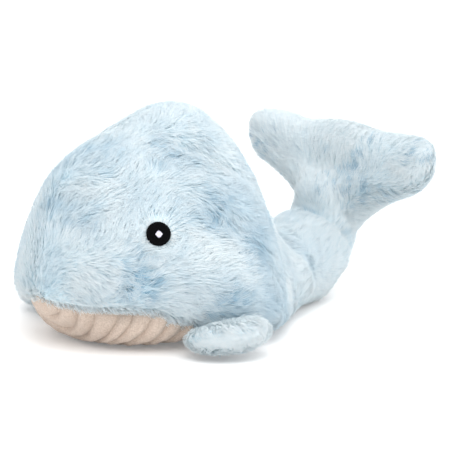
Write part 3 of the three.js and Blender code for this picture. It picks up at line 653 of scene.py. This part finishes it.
def fur_object(name, strands, pick):
    """The picked strands as one mesh of tapered ribbons with a tint at each point."""
    rng = np.random.default_rng(len(pick))
    rows, normals = strands["rows"][:, pick], strands["facing"][:, pick]
    layer, blue, tuft = (strands[k][pick] for k in ("layer", "blue", "tuft"))
    count = rows.shape[1]
    along = unit(rows[-1] - rows[0])
    roll = rng.normal(0, ROLL, count)
    width = STRAND_WIDTH * rng.uniform(*WIDTH_SPREAD, count)
    white = WHITE + WHITE_BY_LAYER * layer + WHITE_BY_TUFT * (tuft - 0.5) + rng.normal(0, WHITE_SPREAD, count)
    white = np.clip(white, 0, 1)[:, None]
    pale, blue = np.clip(-blue, 0, 1)[:, None], np.clip(blue, 0, 1)[:, None]
    tip_tint = PALE_BLUE + (TIP_WHITE - PALE_BLUE) * white
    tip_tint = tip_tint + (DEEP_BLUE - tip_tint) * blue * TIP_BLUE
    root_tint = ROOT_BLUE + (DEEP_BLUE - ROOT_BLUE) * blue + (TIP_WHITE - ROOT_BLUE) * pale
    points, facing, tints = [], [], []
    for k in range(4):
        side = unit(np.cross(normals[k], along))
        side = unit(side * np.cos(roll)[:, None] + normals[k] * np.sin(roll)[:, None])
        face = unit(np.cross(along, side))
        face *= np.sign((face * normals[k]).sum(1, keepdims=True))
        mixed = unit(FLAT_SHARE * normals[k] + (1 - FLAT_SHARE) * face)
        tint = root_tint + (tip_tint - root_tint) * TINT_STEPS[k]
        half = side * (width * STRAND_WIDTHS[k] / 2)[:, None] if k < 3 else 0
        corners = [rows[k] - half, rows[k] + half] if k < 3 else [rows[k]]
        points += corners
        facing += [mixed] * len(corners)
        tints += [tint] * len(corners)
    points, facing, tints = (np.stack(v, 1).reshape(-1, 3) for v in (points, facing, tints))
    points[:, 2] = np.maximum(points[:, 2], 0.15)
    base = np.arange(count)[:, None] * STRAND_CORNERS
    groups = [np.concatenate([base + [0, 1, 3, 2], base + [2, 3, 5, 4]]), base + [4, 5, 6]]
    for faces in groups:
        a, b, c = (points[faces[:, k]] for k in range(3))
        flipped = (np.cross(b - a, c - a) * facing[faces[:, 0]]).sum(1) < 0
        faces[flipped] = faces[flipped][:, ::-1]
    obj = mesh_object(name, points, groups)
    tint = obj.data.color_attributes.new("tint", "FLOAT_COLOR", "POINT")
    solid = np.ones((len(tints), 1))
    tint.data.foreach_set("color", np.concatenate([tints, solid], 1).astype(np.float32).ravel())
    obj.data.normals_split_custom_set_from_vertices(facing.astype(np.float32))
    obj.data.materials.append(STRAND_PAINT)
    return obj


def fur_pieces(name, strands):
    """The strands as pieces by side and by length along the toy."""
    at = strands["rows"][0]
    pieces = []
    for side, mirror in SIDES:
        chosen = np.flatnonzero((at[:, 1] < 0) == (mirror < 0))
        chosen = chosen[np.argsort(at[chosen, 0])]
        for number, pick in enumerate(np.array_split(chosen, ceil(len(chosen) / PIECE_STRANDS)), 1):
            pieces.append(fur_object(f"{name}_{side}_{number}", strands, pick))
    return pieces


# ---- how the coat lies
EYE_ANGLE = float(angle_at_height(EYE_STATION, EYE_HEIGHT))
# Places where the fur is ruffled and shows its bluer roots, and, low on the side over the flippers, painted
# shade in
# the crease there: run from the nose, degrees round the section from the underside, radius, and strength.
RUFFLES = [
    *((84, 150, 16, 0.55), (37, 105, 17, 0.75), (44, 97, 12, 0.5), (18, 160, 9, 0.45), (3, 114, 9, 0.3)),
    *((111, 126, 14, 0.55), (95, 121, 10, 0.45), (103, 86, 11, 0.95), (88, 79, 9, 0.8), (124, 115, 13, 0.45)),
]
# The ruffles' blue is bluer roots, and painted shade in the crease over the flippers
RUFFLE_TURN, RUFFLE_AND_SHADE_BLUE, RUFFLE_AND_SHADE_SPECKS, RUFFLE_DIP = 0.8, 0.2, 1.1, 0.2
# Slow swirls of the coat: strength in radians, size and seed.
BODY_SWIRLS = ((0.5, 80, 11), (0.32, 26, 12))
TAIL_SWIRLS = ((0.3, 50, 31), (0.25, 20, 32))
LAY_MIDDLE = np.array([6 - NOSE_SETBACK, 0, NOSE_HEIGHT / 2])  # the body's coat lies away from here
BODY_FALL = 0.55  # how much it hangs down
# How blue the body's coat is: all over, in clouds, in specks, with painted shade low at the rear, and in a
# level band.
ALL_BLUE, CLOUD_BLUE, SPECK_BLUE, REAR_SHADE_BLUE, BAND_BLUE = 0.06, 0.06, 0.22, 0.24, 0.1
BAND_HEIGHT, BAND_WIDTH = 108, 22
PALE = 0.6  # how much paler the fur is: painted light along the belly's seam and on top of the flippers, and paler round the eyes
# Painted shade in the fold where the fluke is sewn on, how much lower the fur lies in it, how pale the fluke
# is and how speckled
FOLD_SHADE_BLUE, FOLD_DIP, FLUKE_PALE, FLUKE_SPECKS = 0.35, 0.15, 0.32, 0.95
# How speckled a flipper's underside is, and the width of its seam, along which painted shade lies
FIN_SPECKS, FIN_RIM = 0.6, 1.4


def eye_axes(mirror):
    """Seat of an eye's back, its level direction, its upward direction and its outward one."""
    flip = np.array([1, -mirror, 1])
    run, angle = np.array(float(EYE_STATION)), np.array(EYE_ANGLE)
    outward = surface_normal(run, angle) * flip
    seat = inset_point(run, angle, EYE_SINK + EYE_THICKNESS) * flip
    level = unit(np.cross([0, 0, 1], outward))
    return seat, level, np.cross(outward, level), outward


def ruffled(points):
    """How ruffled the coat is at the points."""
    total = 0
    for run, degrees, radius, strength in RUFFLES:
        place = surface_point(run, radians(degrees))
        for _, mirror in SIDES:
            total = total + strength * bump(size(points - place * [1, -mirror, 1]), 0, radius)
    return total


def swirls(points, kinds):
    return sum(strength * waves(points, size, seed) for strength, size, seed in kinds)


def from_eye(points, mirror):
    return size(points - eye_axes(mirror)[0])


def specks(points, size, seed):
    """Uneven small specks between 0 and 1."""
    return smoothstep(waves(points, size, seed) + 0.5 * waves(points, size / 2, seed + 1), 0.1, 1.5)


def above_seam(points):
    """How far points stand over the seam between fur and belly."""
    run = np.clip(points[:, 0] + NOSE_SETBACK, 0, None)
    seam = belly_angle(run)
    return np.where(seam > 0, points[:, 2] - surface_point(run, seam)[:, 2], 99)


def body_lay(points, normals):
    """Away from the nose and down in slow swirls, level along the belly's seam, outwards round the eyes."""
    low = 1 - smoothstep(above_seam(points), 4, 30)
    away = points - LAY_MIDDLE
    down = BODY_FALL * smoothstep(size(away), 25, 80)
    down = down * (1 - smoothstep(points[:, 0], 55, 105)) * (1 - 0.6 * low)
    lay = tangent(unit(away) + down[:, None] * [0, 0, -1] + [0.3, 0, 0], normals)
    ruffle = RUFFLE_TURN * ruffled(points) * waves(points, 11, 13)
    lay = turned(lay, normals, swirls(points, BODY_SWIRLS) + ruffle)
    for _, mirror in SIDES:
        near = 1 - smoothstep(from_eye(points, mirror), 9, 17)[:, None]
        lay = tangent(lay * (1 - near) + tangent(points - eye_axes(mirror)[0], normals) * near, normals)
    return lay


def body_coat(points):
    ruffle = ruffled(points)
    rise = 0.95 + 0.04 * waves(points, 30, 21) - RUFFLE_DIP * ruffle
    blue = ALL_BLUE + CLOUD_BLUE * waves(points, 40, 22)
    blue = blue + SPECK_BLUE * specks(points, 8, 23) * smoothstep(waves(points, 45, 24), -0.6, 1)
    # bluer where ruffled: bluer roots, and painted shade in the crease over the flippers
    blue = blue + ruffle * (RUFFLE_AND_SHADE_BLUE + RUFFLE_AND_SHADE_SPECKS * specks(points, 6, 25))
    # painted shade: the coat is bluer low at the rear of the body
    rear = band(points[:, 0], -10, 35, 50, 78) * (1 - smoothstep(points[:, 2], 70, 120))
    blue = blue + REAR_SHADE_BLUE * rear + BAND_BLUE * bump(points[:, 2], BAND_HEIGHT, BAND_WIDTH)
    seam = above_seam(points)
    # painted light: the fur is paler along the belly's seam, where it lies in shade under its lip
    blue = blue - PALE * (1 - smoothstep(seam, 1, 9))
    reach = 0.4 + 0.6 * smoothstep(seam, 0, 24)
    for _, mirror in SIDES:
        rim = 1 - smoothstep(from_eye(points, mirror), 8, 13)
        blue = blue * (1 - rim) - PALE * rim
        rise = rise * (1 - 0.3 * rim)
        reach = reach * (1 - 0.4 * rim)
    return rise, np.clip(blue, -1, 1), reach


def over_eyes(points, radius=EYE_DIAMETER / 2):
    """Which points lie over an eye, within a radius of its middle."""
    over = np.zeros(len(points), bool)
    for _, mirror in SIDES:
        seat, _, _, outward = eye_axes(mirror)
        away = points - seat
        flat = size(away - outward * (away @ outward)[:, None])
        over |= (flat < radius) & (np.abs(away @ outward) < 12)
    return over


def bare_body(roots):
    """Where the body carries no fur: under the belly's cloth, inside the eyes' rims and inside the tail."""
    bare = (above_seam(roots) < 0.5) | (roots[:, 0] > CUT_X - 2.5 * (1 + waves(roots, 13, 15)))
    return bare | over_eyes(roots, EYE_DIAMETER / 2 - 3.5)


def tail_lay(points, normals):
    """Along the tail as it curves up, and past the fold out over the lobes."""
    along = past_crease(points)[:, None]
    fan = unit(points - NECK_HINGE + 30 * NECK_HEADING) + 0.8 / FLUKE_SPAN * points * [0, 1, 0]
    curve = np.clip((points[:, 0] - ROOT_X - 10) / 40, 0, sin(TAIL_BEND))
    spine = np.stack([np.sqrt(1 - curve**2), 0 * curve, curve], -1)
    lay = tangent(spine + (fan - spine) * smoothstep(along, -2, 16), normals)
    return turned(lay, normals, swirls(points, TAIL_SWIRLS))


def tail_coat(points):
    along = past_crease(points)
    fold, beyond = bump(along, 0, 4), smoothstep(along, 0, 20)
    rise = 0.95 + 0.03 * waves(points, 30, 33) - FOLD_DIP * fold
    clouds = smoothstep(waves(points, 34, 37), -0.4, 1)
    # painted shade: bluer in the fold's crease
    blue = 0.02 + 0.04 * waves(points, 40, 34) + FOLD_SHADE_BLUE * fold * specks(points, 7, 36)
    blue = blue + (FLUKE_SPECKS * specks(points, 6, 35) * clouds - FLUKE_PALE) * beyond
    return rise, np.clip(blue, -1, 1), 0.8 + 0.2 * beyond


def fin_fur(mirror):
    """How the fur of a flipper lies, and its coat."""
    origin, _, outward, upward = fin_axes(mirror)

    def lay(points, normals):
        way = tangent(points - (origin - 25 * outward), normals)
        return turned(way, normals, 0.3 * waves(points, 16, 41))

    def coat(points):
        height = (points - origin) @ upward
        rim = bump(height, 0, FIN_RIM)
        under = smoothstep(-height, 2, 8)
        # painted light: paler on top of the flipper; painted shade: bluer along its seam
        blue = 0.05 * waves(points, 9, 42) - PALE * (1 - under) + 0.2 * rim
        blue = blue + FIN_SPECKS * under * specks(points, 6, 43)
        return 1 - 0.15 * rim, np.clip(blue, -1, 1), np.ones(len(points))

    return lay, coat


def with_values(node, values):
    """The node, given values for its sockets by their names."""
    for socket, value in values.items():
        node.inputs[socket.replace("_", " ")].default_value = value
    return node


def new_material(name, **values):
    """A material with its node tree and its shader."""
    material = bpy.data.materials.new(name)
    material.use_nodes = True
    tree = material.node_tree
    return material, tree, with_values(tree.nodes["Principled BSDF"], values)


def new_node(tree, kind, **values):
    return with_values(tree.nodes.new("ShaderNode" + kind), values)


def wire(source, output, target, socket):
    target.id_data.links.new(source.outputs[output], target.inputs[socket])


def math_node(tree, operation, first, output, second, other):
    """A Math node on an output each of two nodes."""
    node = new_node(tree, "Math")
    node.operation = operation
    wire(first, output, node, 0)
    wire(second, other, node, 1)
    return node


def fur_material():
    """Soft strands in the tint that each point carries, with some light passing through them."""
    material, tree, shader = new_material("fur_strands", Roughness=0.8, Specular_IOR_Level=0.15)
    tint = new_node(tree, "VertexColor")
    tint.layer_name = "tint"
    through, mix = new_node(tree, "BsdfTranslucent"), new_node(tree, "MixShader", Fac=LIGHT_THROUGH)
    wire(tint, "Color", shader, "Base Color")
    wire(tint, "Color", through, "Color")
    wire(shader, 0, mix, 1)
    wire(through, 0, mix, 2)
    wire(mix, 0, tree.nodes["Material Output"], "Surface")
    return material


def dye(tree, shader, scale, detail, stops):
    """Colours the shader by noise on the object, between two stops of position and colour."""
    place, noise = new_node(tree, "TexCoord"), new_node(tree, "TexNoise", Scale=scale, Detail=detail)
    ramp = new_node(tree, "ValToRGB")
    for element, (position, color) in zip(ramp.color_ramp.elements, stops):
        element.position, element.color = position, (*color, 1)
    wire(place, "Object", noise, "Vector")
    wire(noise, "Fac", ramp, "Fac")
    wire(ramp, "Color", shader, "Base Color")
    return place


def backing_material():
    material, tree, shader = new_material("fur_backing", Roughness=0.95)
    dye(tree, shader, 260, 3, [(0.35, ROOT_BLUE * 0.9), (0.68, ROOT_BLUE * 1.15)])
    return material


# ---- belly
# The folds of the pleats: where they meet the seam, as the run from the nose, and how far they lean back from
# there to the middle line, as they do round the chin.
CHIN_FOLDS = [[-12, 4], [-1, 7], [6, 12], [13, 18], [21, 19], [31.5, 18], [41.5, 8], [53.5, 1]]
PLEAT_FOLDS = CHIN_FOLDS + [[65.2 + PLEAT_PITCH * count, 0] for count in range(8)]
PLEAT_FULLNESS = 0.55  # less than 1 gives round pleats and narrow valleys
BELLY_STEP, BELLY_COLUMNS, BELLY_EDGE = 0.66, 237, 0.3
WRINKLE, PUCKER, PUCKER_PITCH = 0.22, 0.35, 2.6
CLOTH_THICKNESS = 1.2
DARK_BEIGE, PALE_BEIGE = (0.51, 0.405, 0.33), (0.695, 0.575, 0.49)


def pleat_phase(runs, shares):
    """The count of folds up to each run, for each share of the way from the middle line to the seam."""
    at_seam, lean = np.array(PLEAT_FOLDS).T
    count = np.arange(len(at_seam))
    return np.stack([np.interp(runs, at_seam + lean * (1 - share) ** 3, count) for share in shares], -1)


def pleat_rise(phase):
    """The height of the rolled pleats, each with its crest off its middle."""
    share = phase - np.floor(phase)
    lap = log(0.5) / log(PLEAT_CREST)
    return PLEAT_SHOWN * np.sin(pi * share**lap) ** PLEAT_FULLNESS


def belly_object():
    """The belly's cloth in rolled pleats with small puckers at its seam."""
    runs = np.arange(BELLY_START + BELLY_EDGE, BELLY_END - BELLY_EDGE, BELLY_STEP)[:, None]
    across = np.linspace(-1, 1, BELLY_COLUMNS)
    share = np.abs(across) + 0 * runs
    angle = share * belly_angle(runs)
    base = cloth_depth(runs, share)
    at = inset_point(runs, angle, base)
    phase = pleat_phase(runs[:, 0], np.abs(across))
    wrinkle = WRINKLE * waves(at.reshape(-1, 3), 9, 51).reshape(share.shape)
    pucker = PUCKER * np.sin(tau * runs / PUCKER_PITCH) * smoothstep(share, 0.9, 1)
    depth = base + PLEAT_SHOWN - pleat_rise(phase) * smoothstep(runs, 2, 14) + wrinkle + pucker
    outer = inset_point(runs, angle, depth)
    outer[:, across > 0, 1] *= -1
    outer[..., 2] = np.maximum(outer[..., 2], 0)
    rows, columns = outer.shape[:2]
    cloth = mesh_object("belly_cloth", outer.reshape(-1, 3), quads(rows, columns, False)[:, ::-1].copy())
    weave = cloth.data.uv_layers.new(name="weave")
    corners = read(cloth.data.loops, "vertex_index", np.int32, 1)[:, 0]
    flat = np.stack([phase * PLEAT_PITCH, at[..., 1]], -1).reshape(-1, 2) * MM
    weave.data.foreach_set("uv", flat[corners].astype(np.float32).ravel())
    solid = cloth.modifiers.new("thickness", "SOLIDIFY")
    solid.thickness, solid.offset = CLOTH_THICKNESS * MM, -1
    return cloth


def corduroy_material():
    """Brushed cloth with fine ribs along the pleats, a soft nap and uneven dye."""
    cloth = dict(Roughness=0.9, Specular_IOR_Level=0.15, Sheen_Weight=0.2, Sheen_Roughness=0.6)
    material, tree, shader = new_material("belly_corduroy", **cloth)
    place = dye(tree, shader, 900, 4, [(0.3, DARK_BEIGE), (0.7, PALE_BEIGE)])
    weave = new_node(tree, "UVMap")
    weave.uv_map = "weave"
    ribs = new_node(tree, "TexWave", Scale=260, Distortion=2.5, Detail_Scale=2)
    ribs.wave_type, ribs.bands_direction, ribs.wave_profile = "BANDS", "DIAGONAL", "SIN"
    nap = new_node(tree, "TexNoise", Scale=1600)
    relief = new_node(tree, "Bump", Strength=0.5, Distance=0.3 * MM)
    wire(weave, "UV", ribs, "Vector")
    wire(place, "Object", nap, "Vector")
    wire(math_node(tree, "ADD", ribs, "Fac", nap, "Fac"), 0, relief, "Height")
    wire(relief, "Normal", shader, "Normal")
    return material


# ---- eyes
THREAD, STITCH_POINTS = 0.24, 7  # radius of the embroidery thread, and points to a stitch
FILL_PITCH, BORDER_PITCH, GLINT_PITCH = 1.7, 1.75, 1.6  # from thread to thread, in its radii
FILL_LEAN, FILL_EDGE, FILL_SHIFT = radians(62), 0.8, 1.3
STITCH_LENGTH, STITCH_GAP, SHORTEST_STITCH = 3.8, 0.1, 0.6
BORDER_START, BORDER_END = (1.7, 2.3), (-0.05, 0.2)  # inside the eye's edge, and past it
GLINT_DROP = 0.7  # how far the glint's stitches sit under the middle


def threads_object(name, paths, outward, radius, sides=6):
    """Many short threads as one mesh: round tubes along the paths, thinner at their ends."""
    points, faces, start = [], [], 0
    turns = full_turn(sides)
    for path in paths:
        along = unit(np.gradient(path, axis=0))
        side = unit(np.cross(along, outward))
        over = np.cross(side, along)
        ends = np.sin(np.linspace(0.25, pi - 0.25, len(path))) ** 0.35
        ring = side[:, None] * np.cos(turns)[None, :, None] + over[:, None] * np.sin(turns)[None, :, None]
        points.append((path[:, None] + ring * radius * ends[:, None, None]).reshape(-1, 3))
        faces.append(quads(len(path), sides, start=start))
        start += len(path) * sides
    return mesh_object(name, np.concatenate(points), np.concatenate(faces))


def on_eye(mirror, flat, lift=0.0):
    """Points on the eye's crowned face from flat ones, level and up from its middle."""
    seat, level, upward, outward = eye_axes(mirror)
    reach = size(flat) / (EYE_DIAMETER / 2)
    rise = EYE_THICKNESS + EYE_CROWN * (1 - reach**2) + lift
    return seat + flat[..., :1] * level + flat[..., 1:] * upward + rise[..., None] * outward


def eye_patch(side, mirror):
    """A black satin-stitched patch: rows of short stitches inside a border of radial ones."""
    rng = np.random.default_rng(5)
    outward = eye_axes(mirror)[3]
    radius = EYE_DIAMETER / 2
    level, up = cos(FILL_LEAN), sin(FILL_LEAN)
    across, along = np.array([level, up]), np.array([-up, level])
    paths = []
    for row, offset in enumerate(np.arange(-radius + 0.9, radius - 0.9, FILL_PITCH * THREAD)):
        half = sqrt((radius - FILL_EDGE) ** 2 - offset**2)
        starts = np.arange(-half - (row % 3) * FILL_SHIFT, half, STITCH_LENGTH + STITCH_GAP)
        for low, high in zip(np.maximum(starts, -half), np.minimum(starts + STITCH_LENGTH, half)):
            if high - low > SHORTEST_STITCH:
                at = np.linspace(low, high, STITCH_POINTS)[:, None]
                flat = across * (offset + rng.normal(0, 0.03)) + along * at
                paths.append(on_eye(mirror, flat, 0.04))
    share = np.linspace(0, 1, STITCH_POINTS)[:, None]
    for turn in np.arange(0, tau, BORDER_PITCH * THREAD / radius):
        inner, outer = radius - rng.uniform(*BORDER_START), radius + rng.uniform(*BORDER_END)
        reach = np.linspace(inner, outer, STITCH_POINTS)[:, None]
        path = on_eye(mirror, reach * np.array([cos(turn), sin(turn)]), 0.16)
        paths.append(path - outward * (share**4 * 0.9))
    rings = np.linspace(0.02, 1, 8)[:, None, None] * (radius - 0.15)
    turns = full_turn(48)
    face = on_eye(mirror, rings * np.stack([np.cos(turns), np.sin(turns)], -1), -0.05)
    rim = face[-1:] - outward * EYE_THICKNESS
    pad = stack_object(f"eye_{side}_pad", np.concatenate([face, rim]))
    return threads_object(f"eye_{side}_stitches", paths, outward, THREAD), pad


def eye_glint(side, mirror):
    """A small rounded diamond of white stitches."""
    outward = eye_axes(mirror)[3]
    share = np.linspace(-1, 1, STITCH_POINTS)
    paths = []
    for offset in np.arange(-GLINT_WIDTH / 2 + 0.15, GLINT_WIDTH / 2, GLINT_PITCH * THREAD):
        half = GLINT_HEIGHT / 2 * (1 - abs(2 * offset / GLINT_WIDTH) ** 1.5)
        flat = np.stack([offset + 0 * share, share * half - GLINT_DROP], -1)
        paths.append(on_eye(mirror, flat, 0.3) - outward * (share**4 * 0.3)[:, None])
    return threads_object(f"eye_{side}_glint", paths, outward, THREAD * 1.1)


def thread_material(name, color, gloss):
    """Embroidery thread, a little uneven in its dye."""
    material, tree, shader = new_material(name, Roughness=0.65, Specular_IOR_Level=gloss)
    dye(tree, shader, 1200, 2, [(0.3, color * 0.75), (0.7, color * 1.25)])
    return material


# ---- assembly
def furred(backing, *coat):
    """The strands of fur on a backing, which is given its colour."""
    backing.data.materials.append(BACKING_PAINT)
    return comb(Skin(backing), *coat)


def dress_body():
    backing = body_skin()
    strands = furred(backing, 1, BODY_FUR, PILE + 0.6, body_lay, body_coat, bare_body, over_eyes)
    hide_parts("body_side_left", "body_side_right", "body_stuffing")
    for piece in [backing] + fur_pieces("body_fur", strands):
        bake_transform(piece)


def dress_tail():
    backing = tail_skin()
    strands = furred(backing, 2, BODY_FUR, PILE + 0.6, tail_lay, tail_coat)
    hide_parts("tail_side_left", "tail_side_right", "tail_stuffing")
    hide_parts("fluke_upper_panel", "fluke_lower_panel", "fluke_stuffing")
    for piece in [backing] + fur_pieces("tail_fur", strands):
        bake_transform(piece)


def dress_fins():
    for side, mirror in SIDES:
        backing = stack_object(f"fin_{side}_fur_backing", fin_form(mirror, FIN_PILE))
        strands = furred(backing, 3, FIN_FUR, FIN_PILE + 3, *fin_fur(mirror))
        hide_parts(f"fin_{side}_upper_panel", f"fin_{side}_lower_panel", f"fin_{side}_stuffing")
        fur = fur_object(f"fin_{side}_fur", strands, np.arange(len(strands["layer"])))
        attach(backing, f"fin_{side}")
        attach(fur, f"fin_{side}")


def dress_belly():
    cloth = belly_object()
    cloth.data.materials.append(corduroy_material())
    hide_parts("belly_panel")
    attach(cloth, "body")


def dress_eyes():
    black = thread_material("eye_thread_black", np.array([0.0035, 0.0035, 0.0042]), 0.04)
    white = thread_material("eye_thread_white", np.array([0.70, 0.68, 0.80]), 0.3)
    for side, mirror in SIDES:
        stitches, pad = eye_patch(side, mirror)
        glint = eye_glint(side, mirror)
        for piece in (stitches, pad, glint):
            piece.data.materials.append(white if piece == glint else black)
            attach(piece, "body")
        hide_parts(f"eye_{side}_disc")
        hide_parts(f"eye_{side}_highlight")


# ---- studio
TARGET = Vector((0, 0, 0.060))
DISTANCE, AZIMUTH, ELEVATION = 1.8, radians(-40), radians(12)
PIXEL = 0.72 * MM  # length at the target that one pixel of the photo covers
TARGET_COLUMN, TARGET_ROW, FRAME_PIXELS, SENSOR = 146.8, 247.6, 452, 36
LIGHTS = [  # name, place, size and energy
    ("key", (-0.7, -1.0, 2.0), 1.8, 28),
    ("fill", (1.6, -1.4, 1.0), 1.6, 10),
    ("back", (0.8, 1.9, 1.6), 1.8, 12),
]
WORLD_LIGHT = 1.05
PAPER, PAPER_HALF = (0.86, 0.86, 0.86, 1), 4000
FLOOR_GLOW = 0.17  # what lifts the paper to the background's white where it is seen


def place_camera():
    level = cos(ELEVATION)
    back = Vector((sin(AZIMUTH) * level, -cos(AZIMUTH) * level, sin(ELEVATION)))
    camera = new_object("camera", bpy.data.cameras.new("camera"))
    camera.location = TARGET + back * DISTANCE
    camera.rotation_euler = back.to_track_quat("Z", "Y").to_euler()
    camera.data.sensor_width = SENSOR
    camera.data.lens = SENSOR * DISTANCE / (FRAME_PIXELS * PIXEL)
    camera.data.shift_x = 0.5 - TARGET_COLUMN / FRAME_PIXELS
    camera.data.shift_y = TARGET_ROW / FRAME_PIXELS - 0.5
    camera.data.clip_end = 20
    bpy.context.scene.camera = camera


def paper_material():
    """White paper that glows a little where the camera sees it, straight or in a glossy or clear surface."""
    paper = dict(Base_Color=PAPER, Roughness=0.9, Specular_IOR_Level=0.1)
    material, tree, shader = new_material("floor_paper", **paper)
    rays = new_node(tree, "LightPath")
    either = math_node(tree, "MAXIMUM", rays, "Is Camera Ray", rays, "Is Glossy Ray")
    seen = math_node(tree, "MAXIMUM", either, 0, rays, "Is Transmission Ray")
    level = new_node(tree, "Math")
    level.operation = "MULTIPLY"
    level.inputs[1].default_value = FLOOR_GLOW
    glow, add = new_node(tree, "Emission"), new_node(tree, "AddShader")
    wire(seen, 0, level, 0)
    wire(level, 0, glow, "Strength")
    wire(shader, 0, add, 0)
    wire(glow, 0, add, 1)
    wire(add, 0, tree.nodes["Material Output"], "Surface")
    return material


def build_studio():
    for name, location, width, energy in LIGHTS:
        light = bpy.data.lights.new(name, "AREA")
        light.shape, light.size, light.energy = "DISK", width, energy
        obj = new_object(name, light)
        obj.location = location
        obj.rotation_euler = (Vector(location) - TARGET).to_track_quat("Z", "Y").to_euler()
    world = bpy.data.worlds.new("studio")
    bpy.context.scene.world = world
    world.use_nodes = True
    with_values(world.node_tree.nodes["Background"], dict(Color=(1, 1, 1, 1), Strength=WORLD_LIGHT))
    corners = np.array([[-1, -1, 0], [1, -1, 0], [1, 1, 0], [-1, 1, 0]]) * PAPER_HALF
    floor = mesh_object("floor", corners, np.array([[0, 1, 2, 3]]))
    floor.data.materials.append(paper_material())


DENSITY = 170  # strands to a square centimetre
STRAND_WIDTH = 0.36
STRAND_PAINT, BACKING_PAINT = fur_material(), backing_material()

dress_body()
dress_tail()
dress_fins()
dress_belly()
dress_eyes()
place_camera()
build_studio()
bpy.context.scene.view_settings.view_transform = "Standard"
